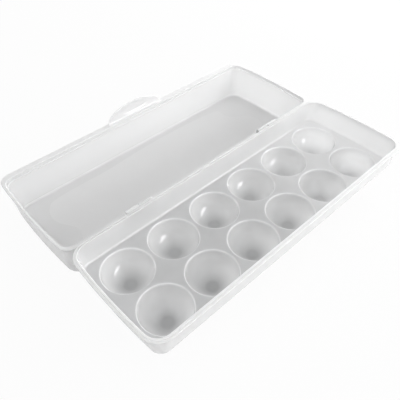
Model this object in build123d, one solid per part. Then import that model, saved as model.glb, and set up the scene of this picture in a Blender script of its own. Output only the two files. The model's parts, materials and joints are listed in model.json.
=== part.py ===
"""Egg keeper for twelve eggs: a deep tray of round cups and a lid that flips over on two hinges.

Millimetres, +Z up, +X along the tray, +Y from the tray towards the open lid.
The lid lies open, on its top face. The origin is on the table, under the middle of the open keeper's box.
It is drawn about the middle of the cup grid first, and main() then moves every sub-part alike.
"""
from build123d import *
import math
import os

# ---- the mouldings -------------------------------------------------------------------------
wall = 1.2                  # wall of both mouldings

# ---- egg cups ------------------------------------------------------------------------------
cup_columns = 6
cup_rows = 2
cup_pitch_x = 50.0
cup_pitch_y = 49.3
cup_radius = 22.6           # inside radius of the round bowl
cup_foot_radius = 5.173     # flat floor inside a cup
cup_mouth_round = 1.5       # rounding where the deck turns down into a cup

# ---- tray ----------------------------------------------------------------------------------
tray_depth = 23.4           # from the deck's top to the rim's top
tray_end_margin = 5.4       # deck between the end cups and the end walls
tray_side_margin = 5.45     # deck between the cups and the long walls
tray_end_lean = 2.0         # how far each end wall leans out over its height
tray_side_lean = 0.5        # how far each long wall leans out over its height
tray_foot_corner = 8.0      # inside corner radius at the deck
tray_top_corner = 11.5      # inside corner radius at the rim
tray_foot_round = 3.5       # rounding between the deck and the walls
end_bow = 2.4               # how far each short end bulges at its middle

tray_lip_end = 4.0          # width of the rim's top at the short ends
tray_lip_front = 4.3
tray_lip_back = 3.1
tray_lip_corner = 15.7
lip_thickness = 1.4
lip_edge_depth = 2.6        # depth of the turned-down edge round both rims
lip_edge_width = 1.2
rim_groove_width = 0.8      # fine groove round the top of the tray's rim
rim_groove_depth = 0.5
rim_groove_inset = 1.3

# ---- lid -----------------------------------------------------------------------------------
rim_gap = 0.3               # air between the two rims when the lid is shut
lid_inset_end = 1.9         # from the tray's rim edge in to the lid's wall
lid_inset_front = 0.2
lid_inset_back = 0.7
lid_end_lean = 2.5          # how far the lid's walls lean in towards its top
lid_side_lean = 0.8
lid_foot_corner = 9.5       # outside corner radius where the lid meets the tray
lid_top_corner = 13.0       # outside corner radius at the lid's top
lid_top_round = 4.7         # outside rounding between the lid's walls and its top
lid_lip_end = 2.0           # how far the lid's lip stands out from its wall
lid_lip_front = 6.0
lid_lip_back = 2.8
lid_lip_corner = 10.5
shoulder_height = 5.3       # wider band at the foot of the lid's wall
shoulder_step = 0.7

# ---- lift tab ------------------------------------------------------------------------------
tab_width = 71.0
tab_length = 14.0
tab_thickness = 1.4
tab_lean_deg = 18.0         # the tab leans out from upright by this angle
tab_inset = 3.4             # from the lip's front edge to the tab's root
tab_shift = 1.9             # the tab stands a little to the right of the middle
tab_dish_width = 40.0       # shallow oval pressed into the tab for the fingertips
tab_dish_height = 9.6
tab_dish_depth = 0.6
tab_dish_drop = 7.0         # from the tab's root to the middle of the dish
tab_web_reach = 3.0         # curved web that joins the tab to the lip
tab_web_width = 66.0

# ---- hinges --------------------------------------------------------------------------------
hinge_spacing = 168.5       # between the middles of the two hinges
hinge_length = 28.0         # both knuckles of one hinge
hinge_pin_radius = 1.2
hinge_pin_clearance = 0.06
hinge_knuckle_radius = 2.4
hinge_side_gap = 0.4        # between the knuckles of one hinge
hinge_knuckle_gap = 0.1     # from the tray's rim edge to the round of a knuckle
hinge_top_inset = 0.15      # from the rim's top down to the top of a knuckle
hinge_swing_gap = 0.6       # air round a knuckle inside the notch that clears it
hinge_sides = ((-1, "left"), (1, "right"))

# ---- worked out ----------------------------------------------------------------------------
cup_depth = math.sqrt(cup_radius ** 2 - cup_foot_radius ** 2)
deck_top = cup_depth + wall
deck_bottom = deck_top - wall
tray_top = deck_top + tray_depth
cup_span_x = (cup_columns - 1) * cup_pitch_x / 2
cup_span_y = (cup_rows - 1) * cup_pitch_y / 2
deck_half_x = cup_span_x + cup_radius + tray_end_margin
deck_half_y = cup_span_y + cup_radius + tray_side_margin
top_half_x = deck_half_x + tray_end_lean
top_half_y = deck_half_y + tray_side_lean
rim_half_x = top_half_x + tray_lip_end
rim_front = -top_half_y - tray_lip_front
rim_back = top_half_y + tray_lip_back
wall_split = deck_top + tray_foot_round
lip_split = tray_top - lip_edge_depth

hinge_y = rim_back + hinge_knuckle_gap + hinge_knuckle_radius
hinge_z = tray_top - hinge_top_inset - hinge_knuckle_radius
lid_foot = tray_top + rim_gap
lid_top = 2 * hinge_z       # so that the open lid lies on the table
lid_height = lid_top - lid_foot
lid_half_x = rim_half_x - lid_inset_end
lid_front = rim_front + lid_inset_front
lid_back = rim_back - lid_inset_back
lid_lip_top = lid_foot + lip_edge_depth
lid_panel_split = lid_top - lid_top_round

over = 1.0                  # how far a cutting solid runs past the face it opens


def outline(half_x, y_front, y_back, corner, z):
    """A rounded rectangle at height z whose short ends bow outwards."""
    y_middle = (y_front + y_back) / 2
    front = Line((-half_x, y_front), (half_x, y_front))
    right = ThreePointArc((half_x, y_front), (half_x + end_bow, y_middle), (half_x, y_back))
    back = Line((half_x, y_back), (-half_x, y_back))
    left = ThreePointArc((-half_x, y_back), (-half_x - end_bow, y_middle), (-half_x, y_front))
    face = make_face([front, right, back, left])
    return Pos(0, 0, z) * fillet(face.vertices(), corner)


def slab(face, height):
    """The solid between a flat outline and the same outline moved up."""
    return extrude(face, amount=height, dir=(0, 0, 1))


def cut_box(x_low, x_high, y_low, y_high, z_low, z_high):
    """A box given by its two corners, used to keep or remove a region."""
    middle = ((x_low + x_high) / 2, (y_low + y_high) / 2, (z_low + z_high) / 2)
    return Pos(*middle) * Box(x_high - x_low, y_high - y_low, z_high - z_low)


def save(node, shape):
    """Write one sub-part."""
    shape.label = node
    export_step(shape, f"parts/{node}.step")


# ---- tray moulding: deck, cups and walls ---------------------------------------------------
def tray_wall_outline(offset, z):
    """The tray's wall at height z, moved out by offset from its inside face."""
    rise = (z - deck_top) / tray_depth
    half_x = deck_half_x + tray_end_lean * rise + offset
    half_y = deck_half_y + tray_side_lean * rise + offset
    corner = tray_foot_corner + (tray_top_corner - tray_foot_corner) * rise + offset
    return outline(half_x, -half_y, half_y, corner, z)


def tray_tub(offset, z_low, z_high, foot_round):
    """The tray's tapered tub as a full solid, rounded at its foot."""
    tub = loft([tray_wall_outline(offset, z_low), tray_wall_outline(offset, z_high)], ruled=True)
    return fillet(tub.edges().group_by(Axis.Z)[0], foot_round)


def cup_hollow():
    """The space inside one cup, with the rounded mouth and a short run above it."""
    mouth_radius = math.sqrt((cup_radius + cup_mouth_round) ** 2 - cup_mouth_round ** 2)
    share = cup_radius / (cup_radius + cup_mouth_round)
    join = (mouth_radius * share, deck_top - cup_mouth_round * share)
    bowl_middle = (cup_radius * math.sin(math.pi / 4), deck_top - cup_radius * math.cos(math.pi / 4))
    lean = math.atan2(cup_mouth_round, mouth_radius)
    turn = (math.pi / 2 + math.pi - lean) / 2
    mouth_middle = (mouth_radius + cup_mouth_round * math.cos(turn),
                    deck_top - cup_mouth_round + cup_mouth_round * math.sin(turn))
    clear_top = deck_top + tray_foot_round
    profile = make_face([
        Line((0, clear_top), (0, deck_top - cup_depth)),
        Line((0, deck_top - cup_depth), (cup_foot_radius, deck_top - cup_depth)),
        ThreePointArc((cup_foot_radius, deck_top - cup_depth), bowl_middle, join),
        ThreePointArc(join, mouth_middle, (mouth_radius, deck_top)),
        Line((mouth_radius, deck_top), (mouth_radius, clear_top)),
        Line((mouth_radius, clear_top), (0, clear_top)),
    ])
    return revolve(Plane.XZ * profile, Axis.Z)


def cup_outside():
    """The full outer bowl of one cup, flat where it stands on the table."""
    ball = Pos(0, 0, deck_top) * Sphere(cup_radius + wall)
    reach = cup_radius + 2 * wall
    return ball & cut_box(-reach, reach, -reach, reach, 0, deck_top)


def cup_centres():
    """Row, column and centre of each cup."""
    for row in range(cup_rows):
        for column in range(cup_columns):
            x = column * cup_pitch_x - cup_span_x
            y = row * cup_pitch_y - cup_span_y
            yield row, column, x, y


def tray_moulding():
    """Deck, cups and walls up to the underside of the rim."""
    tub = tray_tub(wall, deck_bottom, lip_split, tray_foot_round + wall)
    inside = tray_tub(0, deck_top, lip_split + over, tray_foot_round)
    body = tub - inside
    bowl = cup_outside()
    for row, column, x, y in cup_centres():
        body += Pos(x, y, 0) * bowl - inside
    hollow = cup_hollow()
    for row, column, x, y in cup_centres():
        body -= Pos(x, y, 0) * hollow
    return body


def cell_edges(index, count, pitch, span, far):
    """Where one cup's share of the deck starts and ends along an axis."""
    centre = index * pitch - span
    low = -far if index == 0 else centre - pitch / 2
    high = far if index == count - 1 else centre + pitch / 2
    return low, high


def cup_cells(moulding):
    """Each cup with its share of the deck, by name."""
    cells = {}
    row_names = ["front", "back"] + [f"row_{number}" for number in range(3, cup_rows + 1)]
    for row, column, x, y in cup_centres():
        x_low, x_high = cell_edges(column, cup_columns, cup_pitch_x, cup_span_x, rim_half_x)
        y_low, y_high = cell_edges(row, cup_rows, cup_pitch_y, cup_span_y, rim_half_x)
        room = cut_box(x_low, x_high, y_low, y_high, -over, wall_split)
        cells[f"cup_{row_names[row]}_{column + 1}"] = moulding & room
    return cells


# ---- hinges --------------------------------------------------------------------------------
def hinge_cylinder(x_low, x_high, radius):
    """A cylinder on the hinge axis between two places along it."""
    bar = Cylinder(radius, x_high - x_low)
    return Pos((x_low + x_high) / 2, hinge_y, hinge_z) * Rot(0, 90, 0) * bar


def hinge_runs(side):
    """The tray's and the lid's share of one hinge, along X. side is -1 or 1."""
    middle = side * hinge_spacing / 2
    half_gap = side * hinge_side_gap / 2
    outer_end = middle + side * hinge_length / 2
    inner_end = middle - side * hinge_length / 2
    tray_run = sorted((outer_end, middle + half_gap))
    lid_run = sorted((inner_end, middle - half_gap))
    return tray_run, lid_run


def tray_knuckle(side):
    """Knuckle on the tray's rim with the stub pin that the lid's knuckle turns on."""
    tray_run, lid_run = hinge_runs(side)
    knuckle = hinge_cylinder(*tray_run, hinge_knuckle_radius)
    web_top = hinge_z + hinge_knuckle_radius
    knuckle += cut_box(*tray_run, rim_back, hinge_y, tray_top - lip_edge_depth, web_top)
    pin_ends = sorted((sum(tray_run) / 2, lid_run[0] if side > 0 else lid_run[1]))
    return knuckle + hinge_cylinder(*pin_ends, hinge_pin_radius)


def lid_knuckle(side):
    """Knuckle on the lid's lip with the bore for the stub pin, drawn with the lid shut."""
    tray_run, lid_run = hinge_runs(side)
    knuckle = hinge_cylinder(*lid_run, hinge_knuckle_radius)
    knuckle += cut_box(*lid_run, hinge_y - hinge_knuckle_radius, hinge_y, hinge_z, lid_foot)
    bore_radius = hinge_pin_radius + hinge_pin_clearance
    return knuckle - hinge_cylinder(lid_run[0] - over, lid_run[1] + over, bore_radius)


def tray_notches():
    """Cuts in the tray's rim that let the lid's knuckles swing."""
    cuts = []
    for side in (-1, 1):
        tray_run, lid_run = hinge_runs(side)
        y_low = hinge_y - hinge_knuckle_radius - hinge_swing_gap
        x_low = lid_run[0] - hinge_side_gap
        x_high = lid_run[1] + hinge_side_gap
        cuts.append(cut_box(x_low, x_high, y_low, rim_back + over, deck_top, tray_top + over))
    return cuts


# ---- tray rim ------------------------------------------------------------------------------
def tray_rim():
    """The lip round the tray: a flat top, a turned-down edge and a fine groove."""
    edge = slab(outline(rim_half_x, rim_front, rim_back, tray_lip_corner, lip_split), lip_edge_depth)
    edge = fillet(edge.edges().group_by(Axis.Z)[-1], lip_thickness / 3)
    inner_corner = tray_lip_corner - lip_edge_width
    under = slab(outline(rim_half_x - lip_edge_width, rim_front + lip_edge_width,
                         rim_back - lip_edge_width, inner_corner, lip_split),
                 lip_edge_depth - lip_thickness)
    wall_ring = loft([tray_wall_outline(wall, lip_split), tray_wall_outline(wall, tray_top)], ruled=True)
    rim = edge - (under - wall_ring)
    mouth = loft([tray_wall_outline(0, lip_split - over), tray_wall_outline(0, tray_top + over)], ruled=True)
    rim -= mouth
    groove_out = rim_groove_inset
    groove_in = rim_groove_inset + rim_groove_width
    groove_floor = tray_top - rim_groove_depth
    groove = slab(outline(rim_half_x - groove_out, rim_front + groove_out, rim_back - groove_out,
                          tray_lip_corner - groove_out, groove_floor), rim_groove_depth + over)
    groove -= slab(outline(rim_half_x - groove_in, rim_front + groove_in, rim_back - groove_in,
                           tray_lip_corner - groove_in, groove_floor), rim_groove_depth + over)
    rim -= groove
    for cut in tray_notches():
        rim -= cut
    return rim


# ---- lid, drawn shut and then laid open ----------------------------------------------------
def opened(shape):
    """Turn a piece of the shut lid about the hinge axis until the lid lies open."""
    return shape.rotate(Axis((0, hinge_y, hinge_z), (1, 0, 0)), 180)


def lid_wall_outline(offset, z):
    """The lid's wall at height z, moved out by offset from its outside face."""
    rise = (z - lid_foot) / lid_height
    half_x = lid_half_x - lid_end_lean * rise + offset
    y_front = lid_front + lid_side_lean * rise - offset
    y_back = lid_back - lid_side_lean * rise + offset
    corner = lid_foot_corner + (lid_top_corner - lid_foot_corner) * rise + offset
    return outline(half_x, y_front, y_back, corner, z)


def lid_tub(offset, z_low, z_high, top_round):
    """The lid's tapered tub as a full solid, rounded at its top."""
    tub = loft([lid_wall_outline(offset, z_low), lid_wall_outline(offset, z_high)], ruled=True)
    return fillet(tub.edges().group_by(Axis.Z)[-1], top_round)


def lid_moulding():
    """Top panel, rounded edge and walls, with the wider shoulder at the foot."""
    body = lid_tub(0, lid_foot, lid_top, lid_top_round)
    body += loft([lid_wall_outline(shoulder_step, lid_foot),
                  lid_wall_outline(shoulder_step, lid_foot + shoulder_height)], ruled=True)
    body -= lid_tub(-wall, lid_foot - over, lid_top - wall, lid_top_round - wall)
    shoulder_room = shoulder_height - wall
    body -= loft([lid_wall_outline(shoulder_step - wall, lid_foot - over),
                  lid_wall_outline(shoulder_step - wall, lid_foot + shoulder_room)], ruled=True)
    return body


def lid_lip():
    """The lip round the lid's wall: widest in front, where the finger lifts it."""
    half_x = lid_half_x + lid_lip_end
    y_front = lid_front - lid_lip_front
    y_back = lid_back + lid_lip_back
    lip = slab(outline(half_x, y_front, y_back, lid_lip_corner, lid_foot), lip_edge_depth)
    lip = fillet(lip.edges().group_by(Axis.Z)[0], lip_thickness / 3)
    hollow = slab(outline(half_x - lip_edge_width, y_front + lip_edge_width, y_back - lip_edge_width,
                          lid_lip_corner - lip_edge_width, lid_foot + lip_thickness), lip_edge_depth)
    lip -= hollow
    return lip - loft([lid_wall_outline(shoulder_step, lid_foot - over),
                       lid_wall_outline(shoulder_step, lid_lip_top + over)], ruled=True)


def tab_web(root_y):
    """The curved web between the lip's underside and the back of the tab."""
    lean = math.radians(tab_lean_deg)
    half_angle = (math.pi / 2 + lean) / 2
    radius = tab_web_reach * math.tan(half_angle)
    on_lip = Vector(root_y + tab_web_reach, lid_foot)
    on_tab = Vector(root_y - tab_web_reach * math.sin(lean), lid_foot - tab_web_reach * math.cos(lean))
    root = Vector(root_y, lid_foot)
    centre = on_lip - Vector(0, radius)
    middle = centre + (root - centre).normalized() * radius
    profile = make_face([Line(root, on_lip), ThreePointArc(on_lip, middle, on_tab), Line(on_tab, root)])
    web = extrude(Plane.YZ * profile, amount=tab_web_width / 2, both=True)
    return Pos(tab_shift, 0, 0) * web


def lift_tab():
    """The half-oval tab that hangs in front of the tray, with a dished grip."""
    root_y = lid_front - lid_lip_front + tab_inset
    lower_half = Pos(0, (over - tab_length) / 2) * Rectangle(tab_width, tab_length + over)
    plate = extrude(Ellipse(tab_width / 2, tab_length) & lower_half, amount=tab_thickness, dir=(0, 0, 1))
    dish_middle = Pos(0, -tab_dish_drop)
    bulge = Ellipse(tab_dish_width / 2, tab_dish_height / 2)
    hollow = Ellipse(tab_dish_width / 2 - tab_dish_depth, tab_dish_height / 2 - tab_dish_depth)
    plate += Pos(0, 0, tab_thickness) * extrude(dish_middle * bulge, amount=tab_dish_depth, dir=(0, 0, 1))
    plate -= extrude(dish_middle * hollow, amount=tab_dish_depth, dir=(0, 0, 1))
    hanging = Pos(tab_shift, root_y, lid_foot) * Rot(90 - tab_lean_deg, 0, 0) * plate
    above_lip = cut_box(-tab_width, tab_width, root_y - tab_length, root_y + tab_length,
                        lid_foot, lid_foot + tab_length)
    return hanging - above_lip + tab_web(root_y)


def tray_nodes():
    """The sub-parts of the tray, by name."""
    moulding = tray_moulding()
    nodes = cup_cells(moulding)
    room = cut_box(-rim_half_x, rim_half_x, rim_front, rim_back, wall_split, lip_split)
    nodes["tray_wall"] = moulding & room
    nodes["tray_rim"] = tray_rim()
    for side, name in hinge_sides:
        nodes[f"tray_knuckle_{name}"] = tray_knuckle(side)
    return nodes


def lid_nodes():
    """The sub-parts of the shut lid, by name."""
    lid = lid_moulding()
    far = 2 * rim_half_x
    nodes = {
        "lid_panel": lid & cut_box(-far, far, -far, far, lid_panel_split, lid_top + over),
        "lid_wall": lid & cut_box(-far, far, -far, far, lid_foot, lid_panel_split),
        "lid_lip": lid_lip(),
        "lift_tab": lift_tab(),
    }
    for side, name in hinge_sides:
        nodes[f"lid_knuckle_{name}"] = lid_knuckle(side)
    return nodes


def main():
    os.makedirs("parts", exist_ok=True)
    nodes = tray_nodes()
    for name, shape in lid_nodes().items():
        nodes[name] = opened(shape)
    boxes = [shape.bounding_box() for shape in nodes.values()]
    y_middle = (min(box.min.Y for box in boxes) + max(box.max.Y for box in boxes)) / 2
    for name, shape in nodes.items():
        save(name, Pos(0, -y_middle, 0) * shape)
    print("cup grid's middle at y", round(-y_middle, 4))
    print("hinge axis at y", round(hinge_y - y_middle, 4), "and z", round(hinge_z, 4))


main()
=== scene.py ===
# %% [markdown]
# # An egg keeper with a flip lid
#
# A long keeper for twelve eggs, moulded in frosted polypropylene. It is two thin shells: a tray with twelve
# round cups, and a deep lid that lies open behind it on two small hinges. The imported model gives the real
# sizes and the hinge axis. This lesson makes the two shells again as smooth, continuous skins, because the
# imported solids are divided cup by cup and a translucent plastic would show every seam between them.

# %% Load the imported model
import json
import math

import bmesh
import bpy
from mathutils import Matrix, Vector
from mathutils.geometry import delaunay_2d_cdt


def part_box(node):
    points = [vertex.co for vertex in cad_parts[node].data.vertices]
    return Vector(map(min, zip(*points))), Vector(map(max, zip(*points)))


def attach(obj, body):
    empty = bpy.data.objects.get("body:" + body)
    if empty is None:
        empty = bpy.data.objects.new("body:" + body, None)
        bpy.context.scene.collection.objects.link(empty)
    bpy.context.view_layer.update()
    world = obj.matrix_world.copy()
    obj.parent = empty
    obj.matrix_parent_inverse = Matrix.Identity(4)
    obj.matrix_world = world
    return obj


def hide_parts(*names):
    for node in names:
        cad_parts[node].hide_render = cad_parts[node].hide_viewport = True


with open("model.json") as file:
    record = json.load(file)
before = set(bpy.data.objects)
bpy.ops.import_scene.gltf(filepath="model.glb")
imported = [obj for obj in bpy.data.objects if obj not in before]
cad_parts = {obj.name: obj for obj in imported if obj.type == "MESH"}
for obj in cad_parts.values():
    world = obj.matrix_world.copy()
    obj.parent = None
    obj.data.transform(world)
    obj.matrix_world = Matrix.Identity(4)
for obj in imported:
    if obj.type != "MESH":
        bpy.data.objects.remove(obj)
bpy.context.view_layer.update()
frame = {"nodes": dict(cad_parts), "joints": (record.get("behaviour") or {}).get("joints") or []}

# %% [markdown]
# ## Sizes
#
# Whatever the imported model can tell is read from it: how far the rims reach, how high they stand, where the
# lid turns. What a box can't tell, such as a wall's thickness or a rounding, is a named value in millimetres.

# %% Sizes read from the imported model
mm = 0.001
rim_low, rim_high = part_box("tray_rim")
lip_low, lip_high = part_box("lid_lip")
hinge = Vector(frame["joints"][0]["pos_m"])
tray_top = rim_high.z
lid_foot = 2 * hinge.z - lip_high.z
lid_top = 2 * hinge.z
print("tray's top", round(tray_top, 4), "shut lid from", round(lid_foot, 4), "to", round(lid_top, 4))

# %% Sizes that both mouldings share
wall = 1.2 * mm
end_bow = 2.4 * mm
lip_thickness = 1.4 * mm
lip_edge_depth = 2.6 * mm
lip_edge_width = 1.2 * mm
lip_round = 0.55 * mm
small_round = 0.25 * mm
print("wall", wall, "m and lip", lip_thickness, "m thick")

# %% [markdown]
# ## The camera
#
# The keeper is seen from above its front left corner, from less than half a metre away, so the near end of
# the tray looms and the far end shrinks. Azimuth, elevation and roll turn the camera, and its focal length
# goes with a square sensor.

# %% Place the camera
camera_place = Vector((-228.29, -242.52, 331.44)) * mm
camera_azimuth = math.radians(-42.19)
camera_elevation = math.radians(45.75)
camera_roll = math.radians(-0.86)
sensor_width = 36.0
focal_share = 452.84 / 400

level = math.cos(camera_elevation)
backwards = Vector((math.sin(camera_azimuth) * level, -math.cos(camera_azimuth) * level,
                    math.sin(camera_elevation)))
right = (-backwards).cross(Vector((0, 0, 1))).normalized()
above = right.cross(-backwards)
rolled_right = math.cos(camera_roll) * right + math.sin(camera_roll) * above
rolled_above = math.cos(camera_roll) * above - math.sin(camera_roll) * right
turn = Matrix((rolled_right, rolled_above, backwards)).transposed()

camera_data = bpy.data.cameras.new("camera")
camera_data.sensor_width = sensor_width
camera_data.lens = sensor_width * focal_share
camera_data.clip_start = 10 * mm
camera = bpy.data.objects.new("camera", camera_data)
camera.matrix_world = Matrix.Translation(camera_place) @ turn.to_4x4()
bpy.context.scene.collection.objects.link(camera)
bpy.context.scene.camera = camera
print("focal length", round(camera_data.lens, 2), "mm")

# %% [markdown]
# ## One outline, many heights
#
# Both shells are rounded rectangles whose short ends bulge a little. Walls, rims and roundings are all the
# same outline, moved outwards and upwards step by step. So one function draws the outline with a fixed number
# of points. Because each loop has as many points as the next, neighbouring loops join up in clean four-sided
# faces.

# %% The outline of a shell
corner_steps = 10
long_steps = 48
short_steps = 18


def outline(half_x, y_front, y_back, corner, z):
    """One loop round a rounded rectangle with bowed short ends, anticlockwise from above."""
    x, low, high = half_x - corner, y_front + corner, y_back - corner
    centres = [(x, low, -90), (x, high, 0), (-x, high, 90), (-x, low, 180)]
    loop = []
    for place, (centre_x, centre_y, first_angle) in enumerate(centres):
        for step in range(corner_steps + 1):
            angle = math.radians(first_angle + 90 * step / corner_steps)
            loop.append((centre_x + corner * math.cos(angle), centre_y + corner * math.sin(angle)))
        next_x, next_y, next_angle = centres[(place + 1) % 4]
        angle = math.radians(next_angle)
        end = (next_x + corner * math.cos(angle), next_y + corner * math.sin(angle))
        start = loop[-1]
        steps = long_steps if place % 2 else short_steps
        for step in range(1, steps):
            share = step / steps
            loop.append((start[0] + (end[0] - start[0]) * share, start[1] + (end[1] - start[1]) * share))
    middle, half_y = (y_front + y_back) / 2, (y_back - y_front) / 2
    bowed = []
    for point_x, point_y in loop:
        bulge = end_bow * max(0.0, 1 - ((point_y - middle) / half_y) ** 2)
        reach = max(-1.0, min(1.0, point_x / x))
        bowed.append(Vector((point_x + bulge * reach, point_y, z)))
    return bowed


print("points in a loop", len(outline(0.1, -0.05, 0.05, 0.01, 0)))

# %% [markdown]
# ## Stations round the cross-section
#
# A station is three numbers: how much of the lip's width it stands out, a further step outwards, and a
# height. The lip is wider in front than behind, so its width can't be one number, but "all of the lip's
# width" fits every side. The corners of a cross-section are given as stations with a radius, and each becomes
# an arc. One more station just before and after each arc keeps the flat faces beside it flat when they are
# shaded smooth. A corner of no radius stays sharp.

# %% Round the corners of a cross-section
arc_steps = 5
guard = 0.25 * mm
typical_lip = 4.0 * mm


def heading(start, end):
    """Which way a cross-section runs between two corners, and how far."""
    step_out = (end[0] - start[0]) * typical_lip + end[1] - start[1]
    step_up = end[2] - start[2]
    if abs(step_out) > abs(step_up):
        return Vector((math.copysign(1, step_out), 0)), abs(step_out)
    return Vector((0, math.copysign(1, step_up))), abs(step_up)


def round_section(corners):
    """Stations for a cross-section whose corners are (share of lip, step out, height, radius)."""
    stations = [corners[0][:3]]
    for before, corner, after in zip(corners, corners[1:], corners[2:]):
        share, out, height, radius = corner
        if radius == 0:
            stations.append((share, out, height))
            continue
        place = Vector((out, height))
        way_in, length_in = heading(before, corner)
        way_out, length_out = heading(corner, after)
        keep_in = min(guard, (length_in - radius - before[3]) / 3)
        keep_out = min(guard, (length_out - radius - after[3]) / 3)
        stations.append((share, *(place - way_in * (radius + keep_in))))
        centre = place + (way_out - way_in) * radius
        for step in range(arc_steps + 1):
            angle = math.pi / 2 * step / arc_steps
            spoke = way_in * math.sin(angle) - way_out * math.cos(angle)
            stations.append((share, *(centre + spoke * radius)))
        stations.append((share, *(place + way_out * (radius + keep_out))))
    stations.append(corners[-1][:3])
    return stations


one_corner = [(0, 0, 0, 0), (0, 0, 10 * mm, mm), (0, 10 * mm, 10 * mm, 0)]
print("stations for one rounded corner", len(round_section(one_corner)))

# %% [markdown]
# ## Flat stretches
#
# The deck between the cups and the lid's panel are flat fields bounded by such a loop. A constrained Delaunay
# triangulation fills one with well-shaped triangles. It takes the loop, any holes, and a grid of points for a
# field that isn't quite flat.

# %% Fill a loop, leaving holes
hole_steps = 64
same_point = 1e-7


def circle(centre_x, centre_y, radius):
    """Points round a hole."""
    angles = [2 * math.pi * step / hole_steps for step in range(hole_steps)]
    return [Vector((centre_x + radius * math.cos(angle), centre_y + radius * math.sin(angle)))
            for angle in angles]


def add_field(mesh, border, holes=(), loose=(), height=None):
    """Fill a loop of vertices. Holes are (x, y, radius), loose points lie between, height(x, y) shapes it."""
    flat = [vertex.co.xy for vertex in border]
    z = border[0].co.z
    edges = [(place, (place + 1) % len(flat)) for place in range(len(flat))]
    for centre_x, centre_y, radius in holes:
        first = len(flat)
        flat += circle(centre_x, centre_y, radius)
        edges += [(first + place, first + (place + 1) % hole_steps) for place in range(hole_steps)]
    flat += loose
    points, _, triangles, *_ = delaunay_2d_cdt(flat, edges, [list(range(len(border)))], 1, same_point)
    inner_share = math.cos(math.pi / hole_steps)
    placed = list(border)
    for point in points[len(border):]:
        placed.append(mesh.verts.new((*point, height(*point) if height else z)))
    for triangle in triangles:
        middle = sum((points[place] for place in triangle), Vector((0, 0))) / 3
        if all((middle - Vector(hole[:2])).length > hole[2] * inner_share for hole in holes):
            mesh.faces.new([placed[place] for place in triangle])


print("points round a hole", len(circle(0, 0, 1)))

# %% [markdown]
# ## From loops to a piece
#
# A shell's skin joins each loop to the next with four-sided faces. Light that scatters inside a shell needs
# it closed and facing outwards, so a piece's doubles are merged and its faces turned outwards, and a count of
# its open edges tells whether it is closed. Smooth shading then leaves only its sharp edges sharp.

# %% Join loops into a skin, and finish a piece
merge_distance = 0.008 * mm
sharp_angle = math.radians(40)


def add_skin(mesh, loops):
    """Join each loop to the next with four-sided faces. Returns the first and last loop's vertices."""
    rows = [[mesh.verts.new(point) for point in loop] for loop in loops]
    for row, next_row in zip(rows, rows[1:]):
        for place in range(len(row)):
            following = (place + 1) % len(row)
            mesh.faces.new((row[place], next_row[place], next_row[following], row[following]))
    return rows[0], rows[-1]


def new_piece(name, mesh):
    """An object from mesh code, linked to the scene."""
    data = bpy.data.meshes.new(name)
    mesh.to_mesh(data)
    mesh.free()
    piece = bpy.data.objects.new(name, data)
    bpy.context.scene.collection.objects.link(piece)
    return piece


def finish_mesh(piece):
    """Merge doubles, turn every face outwards and shade smooth with the sharp edges kept."""
    mesh = bmesh.new()
    mesh.from_mesh(piece.data)
    bmesh.ops.remove_doubles(mesh, verts=mesh.verts, dist=merge_distance)
    bmesh.ops.recalc_face_normals(mesh, faces=mesh.faces)
    open_edges = sum(not edge.is_manifold for edge in mesh.edges)
    for face in mesh.faces:
        face.smooth = True
    mesh.to_mesh(piece.data)
    mesh.free()
    piece.data.set_sharp_from_angle(angle=sharp_angle)
    print(piece.name, "faces", len(piece.data.polygons), "open edges", open_edges)


print("merging points closer than", merge_distance, "m, sharp from", round(sharp_angle, 3), "radians")

# %% [markdown]
# ## The tray's wall and rim
#
# The tray's wall leans out a little on its way up, turns outwards into a flat lip and then down again, like
# the edge of a baking tin. A fine groove runs round the lip's top. The skin starts at the deck inside, climbs
# the wall, goes round the lip and comes back down outside to the deck's underside.

# %% Sizes of the tray
tray_depth = 23.4 * mm
tray_foot_round = 2.3 * mm
tray_end_lean = 2.0 * mm
tray_side_lean = 0.5 * mm
tray_foot_corner = 8.0 * mm
tray_top_corner = 11.5 * mm
tray_lip_corner = 15.7 * mm
tray_lip_end = 4.0 * mm
tray_lip_front = 4.3 * mm
tray_lip_back = 3.1 * mm
groove_inset = 1.3 * mm
groove_width = 0.8 * mm
groove_depth = 0.5 * mm
groove_round = 0.1 * mm
deck_border_gap = 0.2 * mm

deck_top = tray_top - tray_depth
deck_bottom = deck_top - wall
tray_half_x = rim_high.x - end_bow - tray_lip_end
tray_half_y = (rim_high.y - rim_low.y - tray_lip_front - tray_lip_back) / 2
tray_middle = rim_low.y + tray_lip_front + tray_half_y
print("deck at", round(deck_top, 4))
print("mouth of the tray", round(2 * tray_half_x, 4), "by", round(2 * tray_half_y, 4))


# %% The tray's cross-section
def tray_loop(share, out, height):
    """The tray's outline at one station."""
    drop = (tray_top - height) / tray_depth
    half_x = tray_half_x - tray_end_lean * drop + out + share * tray_lip_end
    half_y = tray_half_y - tray_side_lean * drop + out
    corner = tray_top_corner - (tray_top_corner - tray_foot_corner) * drop + out
    corner += share * (tray_lip_corner - tray_top_corner)
    y_front = tray_middle - half_y - share * tray_lip_front
    return outline(half_x, y_front, tray_middle + half_y + share * tray_lip_back, corner, height)


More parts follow.
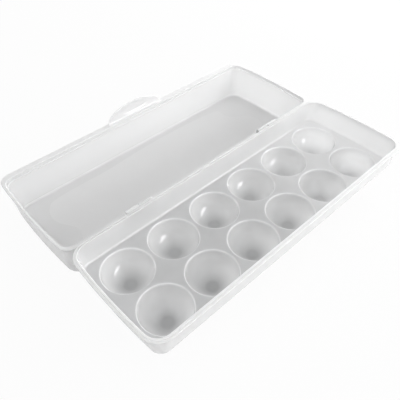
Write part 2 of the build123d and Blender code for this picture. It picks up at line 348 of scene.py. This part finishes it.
groove_floor = tray_top - groove_depth
groove_inner = -groove_inset - groove_width
under_lip = tray_top - lip_thickness
edge_foot = tray_top - lip_edge_depth
tray_corners = [
    (0, -tray_foot_round - deck_border_gap, deck_top, 0),
    (0, 0, deck_top, tray_foot_round),
    (0, 0, tray_top, lip_round),
    (1, groove_inner, tray_top, groove_round),
    (1, groove_inner, groove_floor, groove_round),
    (1, -groove_inset, groove_floor, groove_round),
    (1, -groove_inset, tray_top, groove_round),
    (1, 0, tray_top, lip_round),
    (1, 0, edge_foot, small_round),
    (1, -lip_edge_width, edge_foot, small_round),
    (1, -lip_edge_width, under_lip, small_round),
    (0, wall, under_lip, small_round),
    (0, wall, deck_bottom, tray_foot_round + wall),
    (0, -tray_foot_round - deck_border_gap, deck_bottom, 0),
]
print("stations up and down the tray's wall", len(round_section(tray_corners)))

# %% [markdown]
# ## The deck
#
# The deck is a flat sheet with twelve round holes, one above and one below for the two faces of the plastic.
# The holes' circles have as many points as the cups' mouths will have, so that the two can be merged.

# %% The deck with its holes
cup_columns = 6
cup_rows = 2
cup_pitch_x = 50.0 * mm
cup_pitch_y = 49.3 * mm
cup_radius = 22.6 * mm
cup_mouth_round = 1.5 * mm
cup_under_round = 0.5 * mm


def mouth_radius(bowl_radius, mouth_round, drop):
    """Where a rounding that starts on a flat sheet meets a ball whose centre is that drop above it."""
    return math.sqrt((bowl_radius + mouth_round) ** 2 - drop ** 2)


inside_mouth = mouth_radius(cup_radius, cup_mouth_round, cup_mouth_round)
outside_mouth = mouth_radius(cup_radius + wall, cup_under_round, wall + cup_under_round)
cup_centres = [((column - (cup_columns - 1) / 2) * cup_pitch_x,
                tray_middle + (row - (cup_rows - 1) / 2) * cup_pitch_y)
               for row in range(cup_rows) for column in range(cup_columns)]

tray_mesh = bmesh.new()
tray_loops = [tray_loop(*station) for station in round_section(tray_corners)]
deck_border, underside_border = add_skin(tray_mesh, tray_loops)
add_field(tray_mesh, deck_border, [(x, y, inside_mouth) for x, y in cup_centres])
add_field(tray_mesh, underside_border, [(x, y, outside_mouth) for x, y in cup_centres])
tray_skin = new_piece("tray_skin", tray_mesh)
print("mouths", round(inside_mouth, 5), round(outside_mouth, 5), "faces", len(tray_skin.data.polygons))

# %% [markdown]
# ## Node maths written as Python
#
# Node trees are easier to read as formulas. The small class below wraps a socket, and each operator on it
# adds the Math node that works it out. It serves both the cups, which Geometry Nodes make, and the plastic,
# which shader nodes make. Any other node comes from one function that takes its type, settings and sockets.


# %% A socket that can be added and multiplied
class Value:
    """A node's output in a formula. Each operation adds a Math node to the tree."""

    def __init__(self, tree, socket):
        self.tree = tree
        self.socket = socket

    def sibling(self, output):
        """Another output of the same node, by its name or place."""
        return Value(self.tree, self.socket.node.outputs[output])

    def clamped(self):
        """The value kept between 0 and 1."""
        return self.work("ADD", 0.0, clamp=True)

    def work(self, operation, *others, clamp=False):
        """A Math node on this value and the others."""
        settings = {"operation": operation, "use_clamp": clamp}
        return add_node(self.tree, "ShaderNodeMath", settings, dict(enumerate((self, *others))))

    def reflected(self, operation, other):
        """A Math node whose first number is the other one, as in 1 - value."""
        return add_node(self.tree, "ShaderNodeMath", {"operation": operation}, {0: other, 1: self})

    def __add__(self, other):
        return self.work("ADD", other)

    def __radd__(self, other):
        return self.reflected("ADD", other)

    def __sub__(self, other):
        return self.work("SUBTRACT", other)

    def __rsub__(self, other):
        return self.reflected("SUBTRACT", other)

    def __mul__(self, other):
        return self.work("MULTIPLY", other)

    def __rmul__(self, other):
        return self.reflected("MULTIPLY", other)

    def __truediv__(self, other):
        return self.work("DIVIDE", other)

    def __rtruediv__(self, other):
        return self.reflected("DIVIDE", other)

    def __pow__(self, other):
        return self.work("POWER", other)

    def __rpow__(self, other):
        return self.reflected("POWER", other)

    def __neg__(self):
        return self.work("MULTIPLY", -1.0)


def add_node(tree, kind, settings=None, inputs=None, output=0):
    """Add a node, set it up, then fill or link its sockets. Returns one of its outputs as a Value."""
    node = tree.nodes.new(kind)
    for name, setting in (settings or {}).items():
        setattr(node, name, setting)
    for name, given in (inputs or {}).items():
        if isinstance(given, Value):
            tree.links.new(given.socket, node.inputs[name])
        elif given is not None:
            node.inputs[name].default_value = given
    return Value(tree, node.outputs[output]) if node.outputs else node


print("operators that add a Math node: + - * / **")

# %% [markdown]
# ## The egg cups
#
# All twelve cups are one moulded form, so they are made once by a formula and repeated by Geometry Nodes. A
# flat grid is bent into a bowl: one direction of the grid goes round, the other goes down the profile, which
# is a rounded mouth, a ball and a flat foot. Three clamped ranges carry it through those three stretches. The
# same tree makes the smooth inside and the underside, which differ in their radii and heights alone.

# %% A tree that bends a grid into a bowl
mouth_rows = 5
ball_rows = 17
foot_rows = 3
bowl_inputs = ["Ball radius", "Ball centre", "Mouth round", "Mouth height", "Foot height"]


def new_tree(name, inputs):
    """A geometry tree with named inputs and one geometry output."""
    tree = bpy.data.node_groups.new(name, "GeometryNodeTree")
    for title, kind in inputs:
        tree.interface.new_socket(title, in_out="INPUT", socket_type=kind)
    tree.interface.new_socket("Geometry", in_out="OUTPUT", socket_type="NodeSocketGeometry")
    entry = add_node(tree, "NodeGroupInput")
    return tree, {title: entry.sibling(title) for title, _ in inputs}


def end_tree(tree, geometry):
    """Link a finished geometry to the tree's output."""
    add_node(tree, "NodeGroupOutput", {}, {"Geometry": geometry})


bowl_tree, size = new_tree("cup_bowl", [(title, "NodeSocketFloat") for title in bowl_inputs])
rows = mouth_rows + ball_rows + foot_rows
sheet = add_node(bowl_tree, "GeometryNodeMeshGrid", {},
                 {"Size X": 1.0, "Size Y": 1.0, "Vertices X": hole_steps + 1, "Vertices Y": rows + 1})
position = add_node(bowl_tree, "GeometryNodeInputPosition")
across = add_node(bowl_tree, "ShaderNodeSeparateXYZ", {}, {0: position}, output=0)
along = across.sibling(1)
angle = (across + 0.5) * (2 * math.pi)
row = (along + 0.5) * rows


def stretch(first, count):
    """How far a row has gone through one stretch of the profile, from 0 to 1."""
    return ((row - first) / count).clamped()


drop = size["Ball centre"] - size["Mouth height"] + size["Mouth round"]
reach = size["Ball radius"] + size["Mouth round"]
mouth = (reach * reach - drop * drop).work("SQRT")
lean = (drop / reach).work("ARCSINE")
foot_dip = ((size["Ball centre"] - size["Foot height"]) / size["Ball radius"]).work("ARCSINE")

round_angle = math.pi / 2 + stretch(0, mouth_rows) * (math.pi / 2 - lean)
dip = lean + stretch(mouth_rows, ball_rows) * (foot_dip - lean)
inwards = stretch(mouth_rows + ball_rows, foot_rows)
foot_radius = size["Ball radius"] * foot_dip.work("COSINE")
radius = mouth + size["Mouth round"] * round_angle.work("COSINE")
radius = radius + size["Ball radius"] * (dip.work("COSINE") - lean.work("COSINE")) - foot_radius * inwards
height = size["Mouth height"] + size["Mouth round"] * (round_angle.work("SINE") - 1)
height = height - size["Ball radius"] * (dip.work("SINE") - lean.work("SINE"))
bent = add_node(bowl_tree, "ShaderNodeCombineXYZ", {},
                {0: radius * angle.work("COSINE"), 1: radius * angle.work("SINE"), 2: height})
end_tree(bowl_tree, add_node(bowl_tree, "GeometryNodeSetPosition", {}, {"Geometry": sheet, "Position": bent}))
print("nodes in the bowl's tree", len(bowl_tree.nodes))

# %% A tree that sets the cups into the deck
array_inputs = [
    ("Deck", "NodeSocketGeometry"), ("Pitch X", "NodeSocketFloat"), ("Pitch Y", "NodeSocketFloat"),
    ("Columns", "NodeSocketInt"), ("Rows", "NodeSocketInt"), ("Radius", "NodeSocketFloat"),
    ("Wall", "NodeSocketFloat"), ("Mouth round", "NodeSocketFloat"), ("Under round", "NodeSocketFloat"),
    ("Deck top", "NodeSocketFloat"), ("Middle", "NodeSocketVector"), ("Plastic", "NodeSocketMaterial"),
]
array_tree, given = new_tree("egg_cups", array_inputs)


def add_bowl(ball, mouth_round, mouth_height, foot_height):
    """One face of a cup."""
    return add_node(array_tree, "GeometryNodeGroup", {"node_tree": bowl_tree},
                    dict(zip(bowl_inputs, (ball, given["Deck top"], mouth_round, mouth_height, foot_height))))


def join(tree, *geometries):
    """Join geometries into one."""
    joined = add_node(tree, "GeometryNodeJoinGeometry")
    for geometry in geometries:
        tree.links.new(geometry.socket, joined.socket.node.inputs[0])
    return joined


inside_bowl = add_bowl(given["Radius"], given["Mouth round"], given["Deck top"], given["Wall"])
deck_underside = given["Deck top"] - given["Wall"]
outside_bowl = add_bowl(given["Radius"] + given["Wall"], given["Under round"], deck_underside, 0.0)
row_length = given["Pitch X"] * (given["Columns"] - 1)
column_length = given["Pitch Y"] * (given["Rows"] - 1)
spots = add_node(array_tree, "GeometryNodeMeshGrid", {},
                 {"Size X": row_length, "Size Y": column_length,
                  "Vertices X": given["Columns"], "Vertices Y": given["Rows"]})
spots = add_node(array_tree, "GeometryNodeTransform", {}, {"Geometry": spots, "Translation": given["Middle"]})
cups = add_node(array_tree, "GeometryNodeInstanceOnPoints", {},
                {"Points": spots, "Instance": join(array_tree, inside_bowl, outside_bowl)})
cups = add_node(array_tree, "GeometryNodeRealizeInstances", {}, {"Geometry": cups})
whole = add_node(array_tree, "GeometryNodeMergeByDistance", {},
                 {"Geometry": join(array_tree, given["Deck"], cups), "Distance": merge_distance})
end_tree(array_tree, add_node(array_tree, "GeometryNodeSetMaterial", {},
                              {"Geometry": whole, "Material": given["Plastic"]}))
print("nodes in the array's tree", len(array_tree.nodes))


# %% Run a tree on a piece and keep the result as a plain mesh
def apply_tree(piece, tree, values):
    """Set the tree's inputs by their identifiers, evaluate, and keep the mesh without the modifier."""
    modifier = piece.modifiers.new(tree.name, "NODES")
    modifier.node_group = tree
    for item in tree.interface.items_tree:
        if item.in_out == "INPUT" and item.name in values:
            modifier[item.identifier] = values[item.name]
    shaped = piece.evaluated_get(bpy.context.evaluated_depsgraph_get())
    data = bpy.data.meshes.new_from_object(shaped)
    piece.modifiers.remove(modifier)
    piece.data = data
    finish_mesh(piece)


frosted = bpy.data.materials.new("frosted_tray")
apply_tree(tray_skin, array_tree, {
    "Pitch X": cup_pitch_x, "Pitch Y": cup_pitch_y, "Columns": cup_columns, "Rows": cup_rows,
    "Radius": cup_radius, "Wall": wall, "Mouth round": cup_mouth_round, "Under round": cup_under_round,
    "Deck top": deck_top, "Middle": (0.0, tray_middle, 0.0), "Plastic": frosted})

# %% [markdown]
# ## The lid
#
# The lid is drawn shut, as the mould makes it, and then turned half a turn about the hinge, so that it lies
# open on the table. Its wall leans in towards the top panel, and at its foot steps out into a wider shoulder
# and a lip with an edge that is turned back. The lip is widest in front, where the lift tab stands.

# %% Sizes of the lid
lid_lip_end = 2.0 * mm
lid_lip_front = 6.0 * mm
lid_lip_back = 2.8 * mm
lid_end_lean = 2.5 * mm
lid_side_lean = 0.8 * mm
lid_foot_corner = 9.5 * mm
lid_top_corner = 13.0 * mm
lid_lip_corner = 10.5 * mm
lid_top_round = 4.7 * mm
lid_inner_round = 2.4 * mm
shoulder_height = 5.3 * mm
shoulder_step = 0.7 * mm

lid_height = lid_top - lid_foot
lid_half_x = lip_high.x - end_bow - lid_lip_end
lid_front = 2 * hinge.y - lip_high.y + lid_lip_front
lid_back = 2 * hinge.y - lip_low.y - lid_lip_back
open_turn = Matrix.Translation(hinge) @ Matrix.Rotation(math.pi, 4, "X") @ Matrix.Translation(-hinge)
print("lid's mouth", round(2 * lid_half_x, 4), "by", round(lid_back - lid_front, 4))


# %% The lid's cross-section
def lid_loop(share, out, height):
    """The shut lid's outline at one station."""
    rise = (height - lid_foot) / lid_height
    half_x = lid_half_x - lid_end_lean * rise + out + share * lid_lip_end
    y_front = lid_front + lid_side_lean * rise - out - share * lid_lip_front
    y_back = lid_back - lid_side_lean * rise + out + share * lid_lip_back
    corner = lid_foot_corner + (lid_top_corner - lid_foot_corner) * rise + out
    corner += share * (lid_lip_corner - lid_foot_corner)
    return outline(half_x, y_front, y_back, corner, height)


shoulder_room = lid_foot + shoulder_height - wall
lip_top = lid_foot + lip_thickness
turned_edge = lid_foot + lip_edge_depth
lid_corners = [
    (0, -lid_top_round - 2 * guard, lid_top - wall, 0),
    (0, -wall, lid_top - wall, lid_inner_round),
    (0, -wall, shoulder_room, small_round),
    (0, shoulder_step - wall, shoulder_room, small_round),
    (0, shoulder_step - wall, lid_foot, small_round),
    (1, 0, lid_foot, lip_round),
    (1, 0, turned_edge, small_round),
    (1, -lip_edge_width, turned_edge, small_round),
    (1, -lip_edge_width, lip_top, 0),
    (0, shoulder_step, lip_top, 0),
    (0, shoulder_step, lid_foot + shoulder_height, small_round),
    (0, 0, lid_foot + shoulder_height, small_round),
    (0, 0, lid_top, lid_top_round),
    (0, -lid_top_round - 2 * guard, lid_top, 0),
]
print("stations up and down the lid's wall", len(round_section(lid_corners)))

# %% [markdown]
# ## The lid's panel
#
# A wide, thin panel never comes out of the mould quite flat. It cools last in the middle, so it bows by less
# than a millimetre and keeps a few faint waves along its length, which the light finds.

# %% The panel with its slight bow
panel_bow = 0.5 * mm
panel_wave = 0.06 * mm
long_wave = 23 * mm
cross_wave = 31 * mm
short_wave = 9 * mm
slant_wave = 80 * mm
wander_reach = 1.5
wave_fade = 3.0
panel_step = 4.0 * mm
panel_margin = 9.0 * mm
panel_middle = (lid_front + lid_back) / 2


def panel_sag(x, y, z):
    """The panel's height at a place. Its two waves lie between -2 and 2, and 2 more keeps them inwards."""
    across = max(0.0, 1 - (x / (lid_half_x - lid_top_round)) ** 2)
    along = max(0.0, 1 - ((y - panel_middle) / ((lid_back - lid_front) / 2 - lid_top_round)) ** 2)
    edge = min(1.0, wave_fade * across) * min(1.0, wave_fade * along)
    wander = wander_reach * math.sin(y / cross_wave)
    waves = math.sin(x / long_wave + wander) + math.sin(y / short_wave + x / slant_wave)
    return z - panel_bow * across * along - panel_wave * edge * (2 + waves)


lid_mesh = bmesh.new()
borders = add_skin(lid_mesh, [lid_loop(*station) for station in round_section(lid_corners)])
columns = int((lid_half_x - panel_margin) / panel_step)
half_depth = (lid_back - lid_front) / 2 - panel_margin
lines = int(half_depth / panel_step)
loose = [Vector((column * panel_step, panel_middle + line * panel_step))
         for column in range(-columns, columns + 1) for line in range(-lines, lines + 1)]
for border in borders:
    level = border[0].co.z
    add_field(lid_mesh, border, loose=loose, height=lambda x, y: panel_sag(x, y, level))
lid_skin = new_piece("lid_skin", lid_mesh)
lid_skin.data.transform(open_turn)
finish_mesh(lid_skin)

# %% [markdown]
# ## The lift tab
#
# A half-oval tab stands on the lid's front lip, leaning out, with a shallow oval pressed into it for the
# fingertips and a curved web at its root. It could be cut from a slab, but its edge, dish and web would then
# each need a tool. Here its cross-section is walked once round, from the lip up the face, over the rounded
# edge and down the back, and repeated across the tab's width.

# %% Sizes of the tab
tab_width = 71.0 * mm
tab_length = 14.0 * mm
tab_thickness = 1.4 * mm
tab_lean = math.radians(18)
tab_inset = 3.4 * mm
tab_shift = 1.9 * mm
tab_dish_width = 40.0 * mm
tab_dish_height = 9.6 * mm
tab_dish_depth = 0.35 * mm
tab_dish_drop = 7.0 * mm
tab_dish_floor = 0.6
tab_web_reach = 1.8 * mm
tab_web_share = 0.6
tab_edge_round = 0.6 * mm
tab_root_depth = 0.4 * mm
tab_columns = 64
tab_rows = 16
web_rows = 6
edge_rows = 10

tab_root = Vector((tab_shift, lid_front - lid_lip_front + tab_inset, lid_foot))
down_tab = Vector((0, -math.sin(tab_lean), -math.cos(tab_lean)))
through_tab = Vector((0, -math.cos(tab_lean), math.sin(tab_lean)))
to_lip = Vector((0, 1, 0))
print("tab", round(tab_width, 4), "m wide, from", [round(value, 4) for value in tab_root])


# %% The tab's cross-section, repeated across its width
def smooth(low, high, value):
    """A soft step from 0 at low to 1 at high."""
    share = max(0.0, min(1.0, (value - low) / (high - low)))
    return share * share * (3 - 2 * share)


def tab_point(x, length, depth):
    """A point on the tab: across it, down it and through it, with the dish pressed in."""
    oval = math.hypot(x / (tab_dish_width / 2), (length - tab_dish_drop) / (tab_dish_height / 2))
    depth += tab_dish_depth * smooth(1.0, tab_dish_floor, oval)
    return tab_root + Vector((x, 0, 0)) + down_tab * length + through_tab * depth


def tab_section(share):
    """One cross-section of the tab, at a share of its width from -1 to 1."""
    full = math.sqrt(max(0.0, 1 - share * share))
    x = share * (tab_width / 2 - tab_edge_round)
    tip = full * (tab_length - tab_edge_round)
    web = min(tab_web_reach, tab_web_share * tip)
    points = []
    for step in range(web_rows + 1):
        along = step / web_rows
        sideways = to_lip * web * (1 - along) ** 2 + down_tab * web * along ** 2
        points.append(tab_root + Vector((x, 0, 0)) + sideways)
    points += [tab_point(x, web + (tip - web) * step / tab_rows, 0) for step in range(1, tab_rows + 1)]
    for step in range(1, edge_rows):
        angle = math.pi * step / edge_rows
        out = tab_edge_round * math.sin(angle)
        depth = tab_thickness / 2 * (1 - math.cos(angle))
        points.append(tab_point(x + share * out, tip + full * out, depth))
    points += [tab_point(x, tip * (1 - step / tab_rows), tab_thickness) for step in range(tab_rows)]
    points.append(tab_point(x, -tab_root_depth, tab_thickness))
    points.append(tab_root + Vector((x, 0, 0)) + to_lip * web - down_tab * tab_root_depth)
    return points


tab_mesh = bmesh.new()
sections = [tab_section(math.sin(math.pi * (step / tab_columns - 0.5))) for step in range(tab_columns + 1)]
ends = add_skin(tab_mesh, sections)
for end in ends:
    tab_mesh.faces.new(end)
tab = new_piece("grip_tab", tab_mesh)
tab.data.transform(open_turn)
finish_mesh(tab)

# %% [markdown]
# ## One moulding
#
# The real tab and lid are one shot of plastic. Two meshes that only overlap would keep light from passing
# between them and show a dark seam, so a Boolean modifier unites them, and its result becomes the lid's mesh.

# %% Unite the tab with the lid
union = lid_skin.modifiers.new("moulded_in_one", "BOOLEAN")
union.operation = "UNION"
union.solver = "EXACT"
union.object = tab
joined = bpy.data.meshes.new_from_object(lid_skin.evaluated_get(bpy.context.evaluated_depsgraph_get()))
lid_skin.modifiers.remove(union)
lid_skin.data = joined
bpy.data.objects.remove(tab)
finish_mesh(lid_skin)

# %% [markdown]
# ## Frosted polypropylene
#
# The plastic has no pigment. It is cloudy, so light goes in, scatters and comes out grey-white, under the
# gloss of a polished mould. A thin sheet mirrors on both of its faces, so the coat's index is set above the
# plastic's own. Shade is painted into the tint: level sheets are painted greyer than walls, and so is the
# foot of every wall and cup, with some random cloudiness. On the lid the walls are painted greyer towards the
# left end, and on both shells the painted shade of level faces fades towards the right end as painted light.
# A narrow band at a sharp bend is left pale, a painted highlight line. Level faces get less gloss as well, or
# they would mirror a lamp like glass when they are seen from low down.

# %% The plastic's grain, gloss and cloudiness
grain_size = 900.0
grain_depth = 0.02 * mm
grain_strength = 0.25
cloud_size = 35.0
cloud_depth = 0.3
satin = 0.5
satin_change = 0.12
level_matte = 0.7
# Painted light: the painted shade of level faces fades by this share towards the right end.
right_painted_light = 0.55
# Painted highlight: a band this wide at a bend's height is left pale.
painted_line_reach = 0.9 * mm
light_travel = 4 * mm


def build_plastic(material, wall_tint, painted_shade_tint, level_foot_shade, wall_foot_shade, foot_height, left_painted_shade,
                  painted_line_height):
    """Cloudy plastic under a clear gloss, with shade painted into its tint: greyer on level faces, at the
    foot and towards the left end, and painted lighter on level faces towards the right end.

    foot_height is how far up the painted shade at the foot reaches, and painted_line_height is the height
    where a narrow band is left pale, a painted highlight line.
    """
    material.use_nodes = True
    tree = material.node_tree
    tree.nodes.clear()
    place = add_node(tree, "ShaderNodeTexCoord", output="Object")
    facing = place.sibling("Normal")
    along = add_node(tree, "ShaderNodeSeparateXYZ", {}, {0: place})
    above = along.sibling("Z")
    level = add_node(tree, "ShaderNodeSeparateXYZ", {}, {0: facing}, output="Z").work("ABSOLUTE") ** 4
    cloud = add_node(tree, "ShaderNodeTexNoise", {}, {"Vector": place, "Scale": cloud_size, "Detail": 3.0})
    grain = add_node(tree, "ShaderNodeTexNoise", {}, {"Vector": place, "Scale": grain_size, "Detail": 2.0})
    bump = add_node(tree, "ShaderNodeBump", {},
                    {"Strength": grain_strength, "Distance": grain_depth, "Height": grain})
    # Masks for the painted shade: near the table, and towards the left end.
    foot = (1 - above / foot_height).clamped()
    left_shade_ramp = (0.5 - along / (2 * lip_high.x)).clamped()
    # Painted light: level faces are painted lighter towards the right end.
    right_light_ramp = (along / lip_high.x).clamped()
    # Painted shade: how far the tint turns to the darker colour, on level faces, at the foot of walls and
    # cups and, on the lid, towards its left end, with random cloudiness.
    painted_shade = level * (1 - cloud_depth / 2 + cloud * cloud_depth) * (1 - right_light_ramp * right_painted_light)
    painted_shade = painted_shade + foot * (wall_foot_shade + level * (level_foot_shade - wall_foot_shade)) + left_shade_ramp * (1 - level) * left_painted_shade
    # Painted highlight: at the bend's height a narrow band keeps the light wall tint, a painted pale line
    # along the bend.
    painted_shade = painted_shade * (1 - above.work("COMPARE", painted_line_height, painted_line_reach))
    tint = add_node(tree, "ShaderNodeMix", {"data_type": "RGBA", "clamp_factor": False},
                    {"Factor": painted_shade, 6: wall_tint, 7: painted_shade_tint}, output=2)
    shader = add_node(tree, "ShaderNodeBsdfPrincipled", {}, {
        "Base Color": tint, "Roughness": satin + (cloud - 0.5) * satin_change, "Normal": bump, "IOR": 1.49,
        "Coat Weight": 1 - level * level_matte, "Coat Roughness": 0.1, "Coat IOR": 1.9,
        "Subsurface Weight": 1.0, "Subsurface Radius": (1.0, 1.0, 1.0), "Subsurface Scale": light_travel})
    add_node(tree, "ShaderNodeOutputMaterial", {}, {"Surface": shader})
    print(material.name, "nodes", len(tree.nodes))


# %% The tray's plastic and the lid's
# The darker tint and the foot and left-end amounts below set each shell's painted shade.
build_plastic(frosted, wall_tint=(0.99, 0.992, 0.995, 1), painted_shade_tint=(0.57, 0.573, 0.577, 1),
              level_foot_shade=0.3, wall_foot_shade=0.45, foot_height=14 * mm, left_painted_shade=0.0, painted_line_height=tray_top)
lid_plastic = bpy.data.materials.new("frosted_lid")
# The lid's painted pale line runs at the height of its panel's inner bend.
lid_bend = wall + 1.1 * mm
build_plastic(lid_plastic, wall_tint=(0.975, 0.977, 0.98, 1), painted_shade_tint=(0.925, 0.927, 0.93, 1),
              level_foot_shade=0.0, wall_foot_shade=1.8, foot_height=28 * mm, left_painted_shade=3.2, painted_line_height=lid_bend)
skins = ((tray_skin, frosted), (lid_skin, lid_plastic))
for piece, plastic in skins:
    piece.data.materials.clear()
    piece.data.materials.append(plastic)
knuckles = [name for name in frame["nodes"] if "knuckle" in name]
for name in knuckles:
    for slot in frame["nodes"][name].material_slots:
        slot.material = lid_plastic
print("frosted skins", len(skins), "and knuckles", len(knuckles))

# %% [markdown]
# ## Floor and light
#
# A plain white floor, a soft sky that is brightest overhead and to the left, and four softboxes. The key is
# wide and low in front: it draws the pale streak in the cups and part of the fine line along every bend,
# whose rest is the pale line painted into the plastic. Light Path tells the kinds of rays apart. The camera's
# rays see the floor and the sky as white and mirrored rays see them half as white, while the keeper is lit by
# what the floor, the sky and the lamps really give. The Standard view transform leaves white white.

# %% Floor
floor_size = 6.0
floor_colour = (0.8, 0.8, 0.8, 1)
white = (1, 1, 1, 1)
camera_white = 0.94
mirrored_white = 0.5


def seen_white(tree, camera_share):
    """How much a ray sees the backdrop as white."""
    camera_ray = add_node(tree, "ShaderNodeLightPath")
    mirrored = camera_ray.sibling("Is Glossy Ray") + camera_ray.sibling("Is Transmission Ray")
    return camera_ray * camera_share + mirrored * mirrored_white


floor_mesh = bmesh.new()
bmesh.ops.create_grid(floor_mesh, x_segments=1, y_segments=1, size=floor_size / 2)
floor = new_piece("floor", floor_mesh)
floor_paint = bpy.data.materials.new("white_floor")
floor_paint.use_nodes = True
floor_tree = floor_paint.node_tree
floor_tree.nodes.clear()
matte = add_node(floor_tree, "ShaderNodeBsdfDiffuse", {}, {"Color": floor_colour})
glow = add_node(floor_tree, "ShaderNodeEmission", {}, {"Color": white, "Strength": 1.0})
seen = seen_white(floor_tree, camera_white)
mixed = add_node(floor_tree, "ShaderNodeMixShader", {}, {0: seen, 1: matte, 2: glow})
add_node(floor_tree, "ShaderNodeOutputMaterial", {}, {"Surface": mixed})
floor.data.materials.append(floor_paint)
print("floor", floor_size, "m, nodes", len(floor_tree.nodes))

# %% Sky
bpy.context.scene.view_settings.view_transform = "Standard"
sky_top = 0.78
sky_left = 1.4
world = bpy.data.worlds.new("soft_sky")
bpy.context.scene.world = world
world.use_nodes = True
world_tree = world.node_tree
world_tree.nodes.clear()
direction = add_node(world_tree, "ShaderNodeTexCoord")
sideways = add_node(world_tree, "ShaderNodeSeparateXYZ", {}, {0: direction})
upwards = sideways.sibling("Z")
to_left = (-sideways).work("MAXIMUM", 0.0)
brightness = upwards * upwards * sky_top + to_left * upwards.work("MAXIMUM", 0.0) * sky_left
seen = seen_white(world_tree, 1.0)
brightness = brightness * (1 - seen) + seen
sky = add_node(world_tree, "ShaderNodeBackground", {}, {"Color": white, "Strength": brightness})
add_node(world_tree, "ShaderNodeOutputWorld", {}, {"Surface": sky})
print("nodes in the sky", len(world_tree.nodes))

# %% Softboxes
# Azimuth and elevation are in degrees, distance, width and height in metres, and power in watts.
softboxes = {
    "key_softbox": (-62, 22, 1.3, 1.15, 0.5, 7.6),
    "front_softbox": (-45, 50, 1.7, 1.8, 1.3, 5.0),
    "back_softbox": (45, 13, 1.3, 1.0, 0.35, 5.0),
    "right_softbox": (10, 18, 0.8, 0.5, 0.3, 1.5),
}
aim = Vector((0, 0, 20 * mm))


def add_softbox(name, azimuth, elevation, distance, width, height, power):
    """A rectangular area light round the keeper, turned to face its middle."""
    turned, raised = math.radians(azimuth), math.radians(elevation)
    level = distance * math.cos(raised)
    place = aim + Vector((level * math.cos(turned), level * math.sin(turned), distance * math.sin(raised)))
    data = bpy.data.lights.new(name, "AREA")
    data.shape = "RECTANGLE"
    data.size = width
    data.size_y = height
    data.energy = power
    light = bpy.data.objects.new(name, data)
    light.location = place
    light.rotation_euler = (aim - place).to_track_quat("-Z", "Y").to_euler()
    bpy.context.scene.collection.objects.link(light)
    print(name, [round(value, 2) for value in place])


for name, values in softboxes.items():
    add_softbox(name, *values)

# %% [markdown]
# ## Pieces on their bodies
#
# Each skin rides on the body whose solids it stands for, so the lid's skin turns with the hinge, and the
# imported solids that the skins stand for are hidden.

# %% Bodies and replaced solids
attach(tray_skin, "tray")
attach(lid_skin, "lid")
cup_nodes = [name for name in frame["nodes"] if name.startswith("cup_")]
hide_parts(*cup_nodes, "tray_wall", "tray_rim")
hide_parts("lid_panel", "lid_wall", "lid_lip", "lift_tab")
